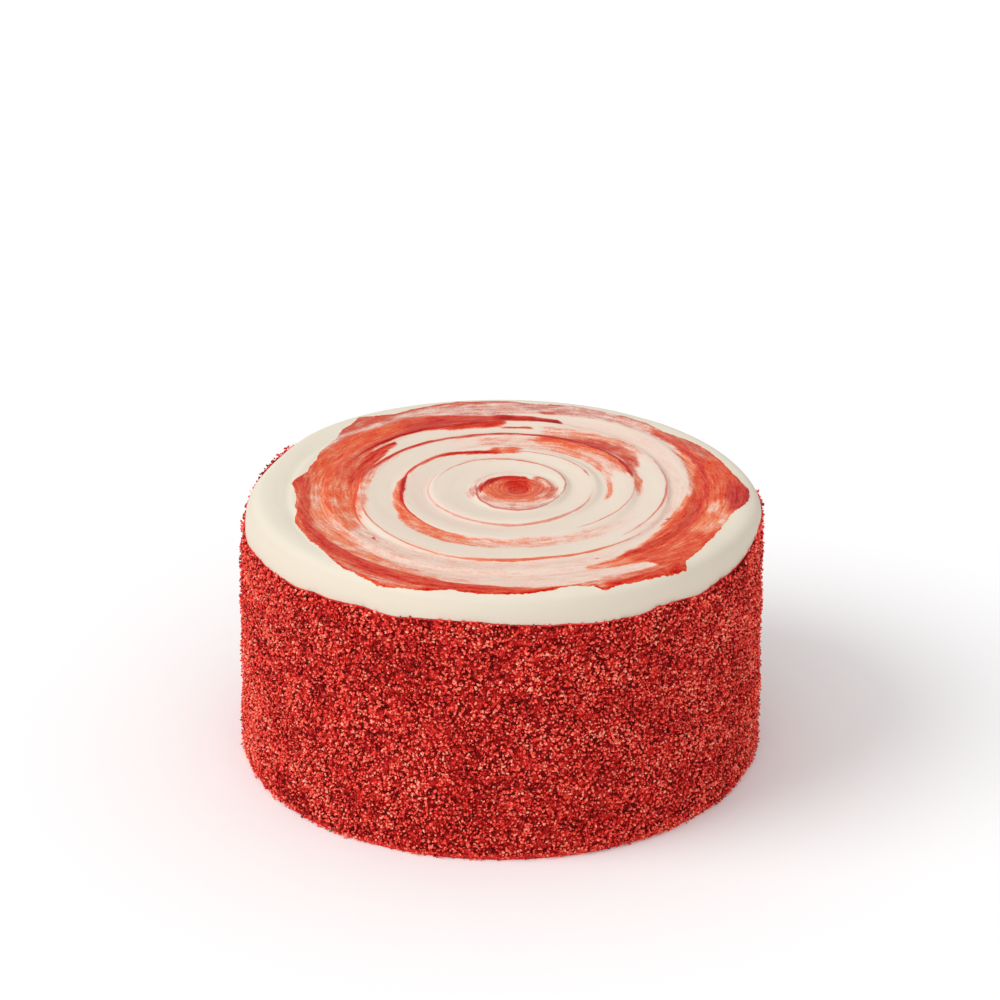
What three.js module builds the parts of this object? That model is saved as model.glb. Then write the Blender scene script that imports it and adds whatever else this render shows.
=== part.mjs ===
import * as THREE from "three";
import { mergeVertices } from "three/addons/utils/BufferGeometryUtils.js";

// A whole red velvet cheesecake: a tall round cake coated with red sponge crumbs, under a layer of ivory
// cream whose top is swirled into one spiral groove. Millimetres, +Z up. The origin is the centre of the
// flat base, and +X is to the right of someone who stands in front of the cake and looks along +Y.

const { degToRad, lerp, smoothstep } = THREE.MathUtils;
const FULL_TURN = 2 * Math.PI;

// Driving dimensions.
const CAKE_RADIUS = 90; // over the crumb coat, halfway up
const CAKE_HEIGHT = 93.9; // to the cream's top, about its middle
const CAKE_LEAN = 1; // how far the top sits to the right of the foot
const COAT_HEIGHT = 85.3; // where the crumb coat meets the cream, at the front
const SWIRL_PITCH = 11.8; // from one crest of the spiral to the next
const SWIRL_DEPTH = 1.2; // from crest to groove, near the middle
const LAYER_GAP = 0.3; // clearance between the cake and the cream on it

// The crumb coat.
const COAT_COLUMNS = 144; // vertices round the coat
const COAT_ROWS = 16; // rows of them up the wall
const WALL_RADIUS = CAKE_RADIUS - 1.4; // the wall's top, halfway between the crumbs and the pits
const WALL_FLARE = 1.5; // how much wider in radius the wall is at its foot
const FOOT_HEIGHT = 1.6; // the coat turns in below this height
const FOOT_SETBACK = 0.8; // by this
const RIM_WIDTH = 2.4; // the coat seen from above, outside the cream
const RIM_SETBACK = 0.4; // the coat's upper edge leans in by this
const LUMP = { size: 0.55, around: 44, tall: 11 }; // the wall's swells: in or out, how many round, how tall
const GRAIN = 0.75; // how far a crumb stands out, or a pit goes in
const COAT_RISE = 2.2; // how much higher the coat climbs where it is highest
const COAT_HIGHEST = degToRad(152); // which is at the back left
const COAT_RIPPLE = { size: 0.35, around: 22 }; // the unevenness of its upper edge

// The cream layer.
const CREAM_COLUMNS = 96; // vertices round the cream
const CREAM_RADIUS = CAKE_RADIUS - RIM_WIDTH; // the cream's edge
const CREAM_WAVE = { size: 0.7, around: 11 }; // that edge's unevenness, in or out
const SHOULDER = 8; // radial width of the rounded edge
const SHOULDER_ROWS = 7; // rows of vertices on it
const SHOULDER_FULLNESS = 2.8; // exponent of its curve: 2 is a quarter of an ellipse, and more is fuller
const CROWN_RISE = 0.5; // the middle of the top over its outer part
const TOP_FALL = 0.008; // how much lower the top is for each millimetre to the right
const BOWL_RADIUS = 12; // the hollow in the middle of the swirl
const BOWL_DEPTH = 1.6;

// The swirl. Its crest is one uneven spiral round a point a little right of the cake's centre. CREST is the
// crest's radius about that point at each sixth of a turn: half a turn in which it leaves the middle, and
// then one turn a line, from +X on.
const MIDDLE = new THREE.Vector2(5, 0.5);
const CREST = [
  [0, 3, 6],
  [9.5, 11, 13.6, 14.2, 16.3, 16.8],
  [16.2, 21.5, 28.2, 28.8, 29.4, 27],
  [26.8, 31.3, 38.3, 39.8, 42.1, 39.8],
  [39.9, 46, 51.3, 53.5, 59.2, 55.8],
  [51.3, 58.5, 62.5, 64.5, 68.5, 64.5],
  [59, 69.5, 75.5, 76, 79, 76],
].flat();
const CREST_LEAD = 3; // how many of them come before the first full turn
const TURNS_BEFORE = 2; // turns of vertices inside the crest's first full turn
const SWIRL_INNER = 11; // no groove inside this radius
const SWIRL_BEGIN = 4; // the radius over which the groove reaches its depth
const SWIRL_OUTER = CREAM_RADIUS - SHOULDER; // from the cake's centre to where the shoulder begins
const SWIRL_END = 9; // the groove fades out over this distance from the shoulder
const OUTER_SHALLOWER = 0.45; // share of the depth that is lost from the middle to the outside
const STEEP = 2.5 / 12; // share of the pitch taken by the groove's steep side, just outside each crest
const PHASES = [0, STEEP, 5 / 12, 8 / 12, 10.5 / 12]; // where the vertices are along one pitch
const SMALLEST_RING = 3; // a ring smaller than this shrinks to the middle
const NEAREST_RING = 1.2; // and one this near to the shoulder moves onto it

// A repeatable number from 0 to 1 for a cell of a grid.
function cellNoise(i, j, salt) {
  const wave = Math.sin(i * 127.1 + j * 311.7 + salt * 74.7) * 43758.5453;
  return wave - Math.floor(wave);
}

// Smooth noise from -1 to 1 that repeats round the cake, with so many cells in one turn.
function roundNoise(angle, level, cells, salt) {
  const ease = (t) => t * t * (3 - 2 * t);
  const x = ((((angle / FULL_TURN) % 1) + 1) % 1) * cells;
  const [i, j] = [Math.floor(x), Math.floor(level)];
  const [u, v] = [ease(x - i), ease(level - j)];
  const corner = (di, dj) => cellNoise((i + di) % cells, j + dj, salt);
  const low = lerp(corner(0, 0), corner(1, 0), u);
  const high = lerp(corner(0, 1), corner(1, 1), u);
  return lerp(low, high, v) * 2 - 1;
}

// How high the coat climbs outside the cream.
function coatTop(angle) {
  const nearHighest = 0.5 + 0.5 * Math.cos(angle - COAT_HIGHEST);
  const ripple = COAT_RIPPLE.size * roundNoise(angle, 0, COAT_RIPPLE.around, 3);
  return COAT_HEIGHT + COAT_RISE * nearHighest ** 3 + ripple;
}

// Radius of the cream's edge.
function creamEdge(angle) {
  return CREAM_RADIUS + CREAM_WAVE.size * roundNoise(angle, 0, CREAM_WAVE.around, 5);
}

// Radius of the wall, halfway between the crumbs and the pits.
function wallRadius(height) {
  return WALL_RADIUS + WALL_FLARE * (1 - height / COAT_HEIGHT);
}

function polar(radius, angle, height) {
  return new THREE.Vector3(radius * Math.cos(angle), radius * Math.sin(angle), height);
}

// A turned blank whose vertices are then moved: place(row, angle, column) gives each its point. Row 0 is
// the point on the axis below, and the last row is the one above. Then it leans as the cake does.
function turned(rows, columns, place) {
  const profile = Array.from({ length: rows }, (_, row) => {
    const onAxis = row === 0 || row === rows - 1;
    return new THREE.Vector2(onAxis ? 0 : 1, row);
  });
  const blank = new THREE.LatheGeometry(profile, columns);
  const position = blank.getAttribute("position");
  for (let column = 0; column <= columns; column++) {
    for (let row = 0; row < rows; row++) {
      const point = place(row, (FULL_TURN * column) / columns, column % columns);
      const lean = (CAKE_LEAN * point.z) / CAKE_HEIGHT;
      position.setXYZ(column * rows + row, point.x + lean, point.y, point.z);
    }
  }
  return closed(blank);
}

// Shares the vertices that meet, and drops the faces that have shrunk to a line.
function closed(geometry) {
  geometry.deleteAttribute("normal");
  geometry.deleteAttribute("uv");
  const merged = mergeVertices(geometry, 1e-3);
  const corners = merged.index.array;
  const kept = [];
  for (let k = 0; k < corners.length; k += 3) {
    const [a, b, c] = corners.slice(k, k + 3);
    if (a !== b && b !== c && c !== a) kept.push(a, b, c);
  }
  merged.setIndex(kept);
  merged.computeVertexNormals();
  return merged;
}

// The cake under its coat of crumbs: a flat base, a lumpy wall, and a ledge that holds the cream.
function crumbCake() {
  const wall = 2; // first row of the wall, after the axis and the edge of the base
  const rim = wall + COAT_ROWS - 1;
  const ledge = COAT_HEIGHT - LAYER_GAP;
  return turned(rim + 3, COAT_COLUMNS, (row, angle, column) => {
    if (row === 0) return polar(0, 0, 0);
    if (row === 1) return polar(wallRadius(0) - FOOT_SETBACK, angle, 0);
    if (row === rim + 1) return polar(creamEdge(angle) + LAYER_GAP - RIM_WIDTH, angle, ledge);
    if (row === rim + 2) return polar(0, 0, ledge);
    const height = lerp(FOOT_HEIGHT, coatTop(angle), (row - wall) / (rim - wall));
    const lump = LUMP.size * roundNoise(angle, height / LUMP.tall, LUMP.around, 1);
    if (row === rim) return polar(wallRadius(height) - RIM_SETBACK + lump / 2, angle, height);
    const grain = GRAIN * (cellNoise(column, row, 7) * 2 - 1);
    return polar(wallRadius(height) + lump + grain, angle, height);
  });
}

// Depth of the groove below its crest, from 0 to 1, at a share of the pitch outwards from a crest.
function grooveDepth(phase) {
  if (phase < STEEP) return smoothstep(phase, 0, STEEP);
  return 0.5 + 0.5 * Math.cos((Math.PI * (phase - STEEP)) / (1 - STEEP));
}

// Radius of the crest about the swirl's middle, after so many turns: a smooth curve through CREST that
// stays at 0 before it, and goes on growing past it.
function crestRadius(turns) {
  const knot = (i) => (i < CREST.length ? (CREST[i] ?? 0) : knot(i - 6) + SWIRL_PITCH);
  const x = turns * 6 + CREST_LEAD;
  const k = Math.floor(x);
  const [before, from, to, after] = [knot(k - 1), knot(k), knot(k + 1), knot(k + 2)];
  const t = x - k;
  const slopes = ((to - before) / 2) * t * (1 - t) ** 2 - ((after - from) / 2) * t * t * (1 - t);
  return lerp(from, to, t * t * (3 - 2 * t)) + slopes;
}

// Distance from the swirl's middle to where the shoulder begins.
function swirlLimit(angle) {
  const along = MIDDLE.x * Math.cos(angle) + MIDDLE.y * Math.sin(angle);
  return Math.sqrt(SWIRL_OUTER ** 2 - MIDDLE.lengthSq() + along ** 2) - along;
}

// A point of the cream's top, at a radius about the swirl's middle and a phase of the spiral there.
function swirlPoint(radius, angle, phase) {
  const limit = swirlLimit(angle);
  const share = radius / limit;
  const begun = smoothstep(radius, SWIRL_INNER, SWIRL_INNER + SWIRL_BEGIN);
  const ended = smoothstep(radius, limit - SWIRL_END, limit);
  const groove = SWIRL_DEPTH * (1 - OUTER_SHALLOWER * share) * begun * (1 - ended) * grooveDepth(phase);
  const bowl = BOWL_DEPTH * (1 - smoothstep(radius, 0, BOWL_RADIUS));
  const point = polar(radius, angle, CAKE_HEIGHT - CROWN_RISE * share * share - bowl - groove);
  point.x += MIDDLE.x;
  point.y += MIDDLE.y;
  point.z -= TOP_FALL * point.x;
  return point;
}

// A point of one of the swirl's rings, counted from the middle out. A ring follows the spiral, so that each
// crest and each groove is a line of vertices. One that would start inside the middle, or end beyond the
// swirl, stays on that limit.
function ringPoint(ring, angle) {
  const phase = PHASES[ring % PHASES.length];
  const turns = Math.floor(ring / PHASES.length) - TURNS_BEFORE + angle / FULL_TURN;
  const radius = lerp(crestRadius(turns), crestRadius(turns + 1), phase);
  if (radius < SMALLEST_RING) return swirlPoint(0, 0, 0);
  if (radius > swirlLimit(angle) - NEAREST_RING) return swirlPoint(swirlLimit(angle), angle, 0);
  return swirlPoint(radius, angle, phase);
}

// The cream: its rounded edge stands on the coat, outside the rings of the swirl.
function creamLayer() {
  const shoulder = 2; // first row of the shoulder, after the axis and the inner edge of the underside
  const swirl = shoulder + SHOULDER_ROWS;
  const turns = TURNS_BEFORE + (CREST.length - CREST_LEAD) / 6 + 1; // the last lies on the swirl's limit
  const rings = PHASES.length * turns;
  const curve = (value) => value ** (2 / SHOULDER_FULLNESS);
  return turned(swirl + rings, CREAM_COLUMNS, (row, angle) => {
    if (row === 0) return polar(0, 0, COAT_HEIGHT);
    if (row >= swirl) return ringPoint(rings - 1 - (row - swirl), angle); // from the outermost ring inwards
    const inner = swirlPoint(swirlLimit(angle), angle, 0);
    const around = Math.atan2(inner.y, inner.x);
    if (row === 1) return polar(creamEdge(around) - RIM_WIDTH, around, COAT_HEIGHT);
    const outer = polar(creamEdge(around), around, coatTop(around) + LAYER_GAP);
    const turn = ((row - shoulder) / SHOULDER_ROWS) * (Math.PI / 2);
    const point = inner.clone().lerp(outer, curve(Math.cos(turn)));
    point.z = lerp(outer.z, inner.z, curve(Math.sin(turn)));
    return point;
  });
}

function part(name, geometry, look) {
  const mesh = new THREE.Mesh(geometry, new THREE.MeshStandardMaterial({ metalness: 0, ...look }));
  mesh.name = name;
  return mesh;
}

const cake = new THREE.Group();
cake.add(
  part("crumb_cake", crumbCake(), { color: 0xad2d28, roughness: 0.9 }),
  part("cream_top", creamLayer(), { color: 0xe5d9ca, roughness: 0.55 }),
);

export default cake;
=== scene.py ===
"""The looks of a whole red velvet cheesecake: a coat of loose sponge crumbs, and a swirled cream top under
brushed red glaze. Lengths are millimetres until a mesh is made, and knots are in degrees."""

import math

import bpy
import numpy as np
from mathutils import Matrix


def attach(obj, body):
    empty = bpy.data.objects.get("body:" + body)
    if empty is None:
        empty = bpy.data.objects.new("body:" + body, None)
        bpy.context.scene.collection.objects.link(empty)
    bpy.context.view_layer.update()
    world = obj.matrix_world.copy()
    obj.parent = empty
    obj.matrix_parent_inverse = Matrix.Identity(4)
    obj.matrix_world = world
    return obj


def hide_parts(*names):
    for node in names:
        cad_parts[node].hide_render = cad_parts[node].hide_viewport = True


MM = 0.001
FULL_TURN = 2 * math.pi

# The solids' own dimensions.
CAKE_RADIUS = 90.0
CAKE_HEIGHT = 93.9
CAKE_LEAN = 1.0
COAT_HEIGHT = 85.3
SWIRL_PITCH = 11.8
SWIRL_DEPTH = 1.2
LAYER_GAP = 0.3
WALL_RADIUS = CAKE_RADIUS - 1.4
WALL_FLARE = 1.5
FOOT_HEIGHT = 1.6
FOOT_SETBACK = 0.8
RIM_WIDTH = 2.4
RIM_SETBACK = 0.4
LUMP_SIZE, LUMP_AROUND, LUMP_TALL = 0.55, 44, 11.0
COAT_RISE = 2.2
COAT_HIGHEST = math.radians(152)
COAT_RIPPLE_SIZE, COAT_RIPPLE_AROUND = 0.35, 22
CREAM_RADIUS = CAKE_RADIUS - RIM_WIDTH
CREAM_WAVE_SIZE, CREAM_WAVE_AROUND = 0.7, 11
SHOULDER = 8.0
SHOULDER_FULLNESS = 2.8
CROWN_RISE = 0.5
TOP_FALL = 0.008
BOWL_RADIUS = 12.0
BOWL_DEPTH = 1.6
MIDDLE = np.array([5.0, 0.5])
CREST = np.array(
    [0, 3, 6]
    + [9.5, 11, 13.6, 14.2, 16.3, 16.8]
    + [16.2, 21.5, 28.2, 28.8, 29.4, 27]
    + [26.8, 31.3, 38.3, 39.8, 42.1, 39.8]
    + [39.9, 46, 51.3, 53.5, 59.2, 55.8]
    + [51.3, 58.5, 62.5, 64.5, 68.5, 64.5]
    + [59, 69.5, 75.5, 76, 79, 76]
)
CREST_LEAD = 3
TURNS_BEFORE = 2
SWIRL_INNER = 11.0
SWIRL_BEGIN = 4.0
SWIRL_OUTER = CREAM_RADIUS - SHOULDER
SWIRL_END = 9.0
OUTER_SHALLOWER = 0.45
STEEP = 2.5 / 12

# Where the cream's edge is drawn in, so that the crumbs outside it show, and where it bulges: direction, over
# how many degrees, and by how much.
CREAM_SHIFTS = [(160, 14, -3.3), (356, 18, 1.3)]

# How finely the pieces are made here.
CREAM_COLUMNS = 640
PHASES = np.concatenate([np.linspace(0, STEEP, 5)[:-1], np.linspace(STEEP, 1, 13)[:-1]])
SHOULDER_ROWS = 14
LAST_STEP = 0.03
SMALLEST_RING = 1.2
NEAREST_RING = 0.5
COAT_COLUMNS = 720
COAT_ROWS = 70
BASE_ROWS = 14

# The glaze's ragged edge: direction about the swirl's middle, and radius.
GLAZE_EDGE = [
    (0, 79.3), (5, 77.5), (10, 76.2), (30, 75.3), (37, 75.2), (43, 73.7), (50, 75.2), (60, 77), (75, 78.7),
    (84, 78.3), (93, 80), (105, 82), (115, 80.5), (123.5, 79.5), (128, 82), (131.5, 85), (135, 82.3),
    (140, 80.7), (146, 77.3), (156, 75.6), (162, 73.7), (170, 73.2), (175, 76), (178, 77), (181, 75.8),
    (185, 75.3), (195, 76.7), (200, 79), (205, 80.2), (220, 82.6), (227, 85.5), (235, 87.5), (240, 88.3),
    (250, 86.3), (256, 84.3), (262, 84.9), (268, 84.4), (276, 82.7), (283, 80.7), (287, 81.5), (289, 83.7),
    (292, 82.8), (311.5, 82.3), (313, 80), (320, 77.3), (330, 75.5), (337, 74.2), (344, 74.8), (350, 78),
    (355, 79), (360, 79.3),
]  # fmt: skip

# How high the crumbs climb round the cream: direction about the cake's axis, and height.
CRUMB_LINE = [
    (0, 87.6), (8, 87), (15, 85.6), (40, 85.2), (70, 86), (100, 85.2), (125, 86.5), (140, 88.2), (150, 89.8),
    (157, 89.2), (163, 87.5), (171, 85), (181, 82.4), (194, 81.8), (199, 82.8), (214, 83.2), (220, 82.7),
    (226, 84), (230, 83.6), (238, 84.7), (247, 84), (262, 85.5), (270, 84.6), (282, 83.4), (291, 82),
    (300, 82.1), (308, 83.1), (318, 81.3), (326, 82.4), (333, 82.6), (338, 83.7), (343, 85.2), (350, 87.6),
    (360, 87.6),
]  # fmt: skip

# The strokes of glaze, painted one over the other. Each has how much glaze it lays (0 is bare cream and 1 is
# deep red), how cool its red is (0 orange, 1 crimson), how wet it looks, how soft its inner and outer edges
# are in mm, over how many degrees its two ends fade, how streaky and how mottled it is, and its knots:
# direction, inner radius, outer radius.
STROKES = [
    # Thin washes of pink.
    (0.05, 0.3, 0, (3, 3), (0, 0), 0.6, 0.2, [(0, 16, 99), (360, 16, 99)]),
    (0.2, 0.8, 0, (3, 3), (25, 20), 0.6, 0.4, [(75, 10, 15), (150, 11.5, 16.5), (215, 13, 18)]),
    (0.36, 1, 0, (2, 2), (8, 8), 1, 0.6, [(172, 13, 16.5), (190, 13.6, 17), (210, 14.5, 17.5)]),
    (0.35, 0.55, 0, (3, 1), (25, 25), 0.8, 0.5, [(200, 11, 14.5), (218, 11, 16), (245, 10.5, 17.5),
     (270, 10, 17.9), (300, 10, 17.3), (350, 9, 15.4)]),
    (0.1, 0.3, 0, (3, 3), (20, 40), 0.8, 0.3, [(150, 30, 38), (290, 30, 37)]),
    (0.24, 0.35, 0, (3, 2), (15, 30), 1, 0.3, [(15, 34, 41), (60, 36, 43), (130, 40, 49)]),
    (0.13, 0.5, 0, (3, 3), (15, 20), 0.8, 0.3, [(262, 41, 48), (345, 41, 47)]),
    (0.24, 0.5, 0, (1.5, 2.5), (15, 20), 0.8, 0.3, [(332, 50.5, 53), (360, 51.2, 55), (388, 54, 58)]),
    (0.13, 0.4, 0, (3, 3), (10, 25), 0.8, 0.3, [(310, 49, 60), (390, 53, 66), (450, 56, 66)]),
    (0.24, 0.3, 0, (3, 3), (8, 15), 1, 0.5, [(176, 56, 78), (205, 60, 78), (240, 60, 77), (262, 60, 80)]),
    (0.16, 0.35, 0, (3, 3), (25, 12), 1, 0.3, [(215, 58, 88), (250, 59, 88), (300, 57, 80), (314, 56, 68)]),
    (0.32, 0.9, 0.1, (3, 3), (10, 12), 1, 0.4, [(84, 65, 99), (115, 68, 99), (165, 70, 99)]),
    (0.37, 1, 0.1, (3, 3), (12, 10), 1, 0.5, [(25, 67, 99), (60, 69, 99), (98, 69, 99)]),
    # The middle.
    (0.76, 0.3, 0.6, (1, 1.6), (0, 0), 0.8, 0.3, [(0, -1, 9), (60, -1, 9), (100, -1, 9.4), (130, -1, 10.2),
     (160, -1, 11.4), (190, -1, 12.4), (215, -1, 12.2), (240, -1, 11.5), (300, -1, 10.5), (360, -1, 9)]),
    (0.52, 0.65, 0.3, (3, 2.5), (20, 20), 1.4, 0.6, [(310, 6.5, 13), (360, 6.5, 14), (425, 7, 12)]),
    (0.56, 0, 0.4, (2.5, 2), (15, 20), 1, 0.5, [(160, 5, 10), (185, 4.5, 11), (215, 5, 11.5),
     (240, 7, 11.5)]),
    (0.56, 0.15, 0.4, (1.5, 2), (15, 20), 1.2, 0.6, [(215, 8.5, 13), (270, 8.3, 12.5), (325, 8.5, 12)]),
    (0.92, 0.35, 0.7, (3, 3), (0, 0), 0.8, 0.4, [(0, -1, 4), (60, -1, 7), (120, -1, 7), (170, -1, 3),
     (250, -1, 3), (360, -1, 4)]),
    # Deep glaze in a crescent round the bowl, painted darker as shade on its back left wall.
    (0.98, 0.5, 0.7, (1, 0.8), (12, 10), 0.8, 0.3, [(60, 7.6, 9.3), (100, 7.9, 9.9), (140, 8.6, 10.9),
     (165, 9.5, 11.9), (192, 11.3, 13)]),
    # The second line.
    (0.44, 0.15, 0.2, (1, 1.5), (8, 12), 1.2, 0.5, [(340, 30.7, 31.2), (360, 31, 32.5), (390, 33, 35.5),
     (420, 36, 40), (440, 36.5, 41)]),
    (0.62, 0.15, 1, (0.8, 0.8), (6, 6), 0.8, 0.8, [(84, 31.5, 35), (92, 31, 35.8), (108, 31.5, 36)]),
    (0.82, 0.4, 0.8, (0.7, 0.9), (4, 8), 0.8, 0.3, [(99, 31.4, 33.4), (105, 31.6, 34.2), (110, 32.6, 35),
     (120, 34.4, 36.9), (130, 36.3, 38.7), (140, 37.8, 39.2), (166, 38.7, 39.7)]),
    (0.26, 0.8, 0.2, (0.5, 1), (10, 10), 0.8, 0.3, [(122, 38.4, 40.8), (160, 39.8, 41.2), (195, 40.3, 41.6)]),
    # Painted highlight: a pale line of almost bare cream along the ridge outside the second line.
    (0.04, 0.8, 0.6, (0.5, 0.5), (4, 6), 0.4, 0.1, [(103, 34.9, 36), (112, 35.8, 37.2), (124, 38, 39)]),
    (0.6, 0.1, 0.3, (0.8, 1.8), (6, 22), 1.4, 0.45, [(168, 39.6, 40.4), (180, 39.7, 41.5), (190, 40.2, 42.9),
     (200, 40.9, 44.2), (210, 41.6, 45.8), (220, 42.7, 47.9), (230, 43.5, 48.8), (240, 43.9, 49.9),
     (252, 43.6, 49.3), (268, 43, 48)]),
    (0.3, 0.2, 0, (1.5, 2), (14, 30), 1.2, 0.6, [(245, 43.5, 48.5), (270, 42.5, 48.3), (300, 41.5, 46.5),
     (325, 41, 45)]),
    (0.86, 0.5, 0.8, (0.5, 0.5), (6, 6), 0.4, 0.2, [(166, 38.6, 39.7), (174, 38.2, 39.9), (184, 38.4, 40),
     (192, 39.5, 40.8), (202, 40.8, 41.8)]),
    # The third line, and what was drawn out from it at the back.
    (0.5, 0.3, 0.2, (1, 1.5), (8, 8), 1.2, 0.4, [(351, 40.6, 41.8), (365, 40.6, 43), (388, 40.8, 44.5)]),
    (0.64, 0, 0.5, (2.5, 1), (12, 10), 1.4, 0.6, [(16, 40.2, 42), (30, 40.2, 43.5), (45, 40.7, 45),
     (70, 40.8, 46), (88, 43, 47)]),
    (0.74, 0.05, 0.6, (1.5, 0.8), (10, 6), 1.2, 0.3, [(42, 43, 45.5), (60, 43.2, 46), (82, 44.6, 47)]),
    (0.75, 0.85, 0.3, (1, 2.5), (14, 10), 1.4, 0.4, [(18, 42, 44.5), (30, 44, 49), (36, 45.5, 51.5),
     (42, 46, 53), (50, 46.5, 53.5), (60, 47, 52.8), (70, 47.4, 52), (84, 48, 50.5)]),
    (0.42, 0.15, 0.1, (1.5, 2), (8, 8), 1.3, 0.5, [(32, 50, 53), (42, 52.8, 56.3), (52, 53.2, 56.5),
     (62, 52, 56), (74, 49, 57), (85, 49.5, 57)]),
    # Painted highlights: pale patches of almost bare cream at the back, where light catches the cream.
    (0.03, 0.4, 0, (1, 1), (5, 5), 0.5, 0.2, [(72, 57, 60), (93, 57, 60)]),
    (0.05, 0.4, 0, (1.2, 1), (5, 8), 0.8, 0.2, [(81, 50.3, 56), (95, 51, 56), (138, 52.5, 57)]),
    (0.95, 0.7, 0.5, (0.5, 0.6), (2, 4), 0.5, 0.2, [(83, 54.3, 55.6), (97, 55.2, 56.4)]),
    (0.88, 0.6, 0.6, (0.6, 0.6), (6, 6), 0.6, 0.3, [(14, 40.4, 41.4), (25, 41.3, 43.1), (40, 43.5, 45.4),
     (50, 44.8, 46.5), (75, 46.1, 47.8), (95, 47.3, 48.9), (110, 48.1, 49.8), (120, 49, 50.4),
     (140, 50.3, 51.7), (150, 50.8, 52.5), (162, 52.2, 53)]),
    # The broad sweep on the left.
    (0.42, 0.05, 0.1, (2, 2), (8, 20), 1.2, 0.5, [(160, 64, 77), (180, 64, 77), (195, 65, 74), (210, 67, 75),
     (228, 70, 77)]),
    (0.74, 0.25, 0.5, (1.2, 2), (1.5, 16), 1, 0.4, [(93, 58.5, 65.6), (95.5, 57, 65.9), (100, 56.3, 66.7),
     (110, 56.8, 70), (115, 57.8, 72.4), (118, 59.2, 73.5), (122, 60.2, 73.5), (135, 60.2, 73.7),
     (137.5, 57.3, 74), (143, 56, 74.3), (150, 54.4, 75), (155, 53.5, 76), (165, 52.8, 76), (175, 53.5, 72),
     (190, 55.5, 66)]),
    (0.66, 0, 0.3, (2, 1.5), (8, 12), 1.2, 0.6, [(120, 65.5, 72), (140, 65, 73.5), (165, 64, 73),
     (188, 62, 69)]),
    (0.82, 0.6, 0.6, (1, 1.5), (2, 12), 0.8, 0.3, [(95, 62, 65.8), (105, 62, 68.5), (115, 62, 71),
     (132, 62, 70)]),
    (0.98, 0.35, 0.7, (1, 1), (3, 8), 0.7, 0.2, [(92.5, 58, 61), (100, 56.8, 61), (112, 57.4, 61),
     (122, 60, 61.5)]),
    (0.92, 1, 0.6, (1, 1.2), (6, 8), 0.8, 0.2, [(98, 61.3, 64.5), (115, 61.5, 65.3), (134, 62, 65)]),
    (0.95, 0.55, 0.8, (0.5, 0.7), (1.5, 4), 0.6, 0.1, [(74, 61.8, 62.8), (77, 60.9, 65), (80, 60.5, 65.8),
     (84, 60.5, 66.4), (92, 60.8, 67), (99, 61, 67.2)]),
    (1.15, 0.6, 0.8, (0.4, 0.6), (1.5, 8), 0.4, 0.2, [(75, 61, 63.4), (82, 60.8, 64), (92, 61.2, 63.2),
     (99, 61.5, 63)]),
    (0.42, 0.1, 0.1, (1.6, 1), (8, 16), 1.6, 0.6, [(144, 49.8, 51), (152, 49.6, 53), (165, 49.9, 53.6),
     (180, 50.8, 55), (192, 52, 57), (200, 53.6, 59), (212, 56.5, 62.5)]),
    (0.4, 0.2, 0.1, (2, 2), (8, 10), 1.5, 0.7, [(172, 66, 72), (184, 66, 72), (194, 66.5, 72)]),
    (0.84, 0.3, 0.5, (1, 1.5), (2, 12), 1, 0.3, [(136.5, 57.3, 59.3), (145, 55.4, 59.8), (160, 52.8, 58.5),
     (188, 54.5, 57)]),
    (1.05, 0.4, 0.8, (0.5, 0.5), (1, 4), 0.5, 0.2, [(136.5, 57.7, 59.2), (142, 57, 59.4)]),
    (0.12, 0.5, 0, (0.5, 0.5), (3, 4), 0.4, 0.1, [(133, 59.3, 60.3), (150, 59.6, 60.4)]),
    (0.6, 0, 0.3, (2.5, 1.5), (8, 8), 1.5, 0.6, [(172, 54, 66), (182, 54.2, 66.5), (192, 55.8, 66.5),
     (200, 58.4, 66), (207, 60.5, 66.5), (217, 63.5, 67)]),
    (0.46, 0, 0.2, (2, 1.5), (8, 20), 1.4, 0.6, [(190, 66.5, 70), (200, 68, 72.5), (210, 69.5, 75),
     (220, 70.5, 76), (230, 71.5, 77), (246, 74, 78.5), (262, 77, 79)]),
    # The red along its outer edge, from the left round the front.
    (0.6, 0.3, 0.4, (1.5, 1), (6, 10), 1, 0.4, [(168, 71, 99), (180, 70.5, 99), (200, 73, 99), (215, 76, 99),
     (250, 79, 99), (262, 80, 99), (286, 80, 99)]),
    (0.76, 0.4, 0.7, (1.5, 1), (3, 14), 1, 0.2, [(172, 72, 77), (183, 70.5, 73.5), (190, 71, 74.5),
     (200, 73, 77), (206, 75.3, 79), (220, 76.7, 81.3), (230, 77.5, 84), (240, 78, 85), (258, 79, 83.8),
     (275, 80, 82.5), (286, 79.5, 81.5)]),
    (0.45, 0.7, 0.3, (1.2, 1), (10, 8), 0.8, 0.4, [(208, 81, 84), (225, 83, 87), (237, 85, 88), (250, 85, 87)]),
    (0.86, 0.6, 0.9, (1, 0.8), (8, 10), 0.6, 0.2, [(196, 74.3, 75.4), (203, 75.4, 77.6), (220, 78, 80.4),
     (240, 81.3, 83.8), (250, 82.3, 84.6), (262, 81.9, 83.8)]),
    (0.65, 0.7, 0.4, (1.5, 1), (6, 6), 0.8, 0.4, [(90, 78, 99), (112, 78, 99)]),
    (0.62, 0.65, 0.4, (1.5, 1), (6, 6), 0.8, 0.5, [(122, 76, 99), (144, 76, 99)]),
    # The broad red on the right, with the streak that trails off it to the front.
    (0.5, 0, 0.2, (2, 1.5), (6, 15), 1.4, 0.6, [(300, 63, 68), (310, 60.5, 64), (330, 56, 60),
     (350, 56.4, 61), (380, 62, 68), (400, 66, 70)]),
    (0.54, 0.05, 0.2, (0.8, 1.2), (2, 3), 1.2, 0.4, [(288.5, 66.5, 67.6), (294, 66, 69), (300, 65, 71),
     (306, 64, 72)]),
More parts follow.
